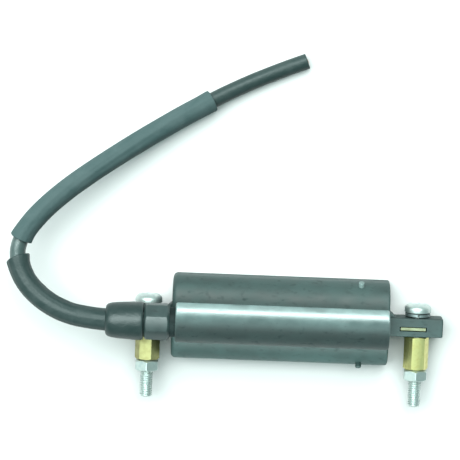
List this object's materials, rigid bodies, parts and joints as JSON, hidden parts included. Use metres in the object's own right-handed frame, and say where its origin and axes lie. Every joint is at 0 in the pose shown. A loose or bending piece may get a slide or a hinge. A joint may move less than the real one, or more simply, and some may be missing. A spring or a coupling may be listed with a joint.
{
  "type": "ignition coil",
  "caption": "External ignition coil: moulded flat-backed body with a round high-tension tower, an ear with a screw, hex spacer and nut at each end, and a sleeved high-tension lead.",
  "frame": {"origin": "centre between the two mounting screws, on the flat back that the coil lies on", "axes": "+X along the body away from the lead's gland; +Y across the body towards the screw heads; +Z out of the flat back towards the high-tension tower"},
  "size_m": [0.1943, 0.1555, 0.0347],
  "materials": {
    "housing": "black moulded thermoset, satin with a fine grain; glossier along the tower",
    "gland": "black moulded plastic, satin",
    "boot": "black rubber, low sheen",
    "sleeve_glossy": "black flexible sleeve, low sheen",
    "sleeve_matte": "black flexible sleeve, matt and slightly dusty",
    "cable": "black cable jacket, low sheen",
    "resin": "black potting resin",
    "brass": "bright turned brass with a faint greenish cast",
    "zinc": "bright zinc plate",
    "core_steel": "bare silicon steel sheet",
    "copper": "enamelled copper wire",
    "paper": "varnished insulating paper",
    "nylon": "natural nylon"
  },
  "bodies": {
    "coil_body": {"main_housing": "housing", "potting_fill": "resin", "back_cover": "resin", "core_stack": "core_steel", "primary_bobbin": "nylon", "primary_winding": "copper", "layer_paper": "paper", "secondary_bobbin": "nylon", "secondary_winding_1": "copper", "secondary_winding_2": "copper", "secondary_winding_3": "copper", "ht_terminal": "brass", "ht_link": "copper", "gland_nut": "gland", "gland_seal": "boot", "lead_boot": "boot", "lead_insulation": "cable", "lead_conductor": "copper", "lower_sleeve": "sleeve_glossy", "upper_sleeve": "sleeve_matte", "contact_plate_left": "brass", "contact_plate_right": "brass", "primary_link_left": "copper", "primary_link_right": "copper", "lock_washer_left": "zinc", "lock_washer_right": "zinc", "hex_spacer_left": "brass", "hex_spacer_right": "brass", "shoulder_peg_front": "housing", "shoulder_peg_rear": "housing"},
    "screw_left": {"screw_left": "zinc"},
    "screw_right": {"screw_right": "zinc"},
    "nut_left": {"nut_left": "zinc"},
    "nut_right": {"nut_right": "zinc"}
  },
  "joints": [
    {"name": "screw_left_turn", "type": "hinge", "parent": "coil_body", "child": "screw_left", "pos_m": [-0.06, 0, 0.0115], "axis": [0, 1, 0], "range_deg": [0, 3960]},
    {"name": "nut_left_travel", "type": "slide", "parent": "coil_body", "child": "nut_left", "axis": [0, -1, 0], "range_m": [0, 0.011]},
    {"name": "screw_right_turn", "type": "hinge", "parent": "coil_body", "child": "screw_right", "pos_m": [0.06, 0, 0.0115], "axis": [0, 1, 0], "range_deg": [0, 3960]},
    {"name": "nut_right_travel", "type": "slide", "parent": "coil_body", "child": "nut_right", "axis": [0, -1, 0], "range_m": [0, 0.011]}
  ],
  "couplings": [
    {"joint": "nut_left_travel", "follows": "screw_left_turn", "m_per_rad": 0.00015915},
    {"joint": "nut_right_travel", "follows": "screw_right_turn", "m_per_rad": 0.00015915}
  ]
}
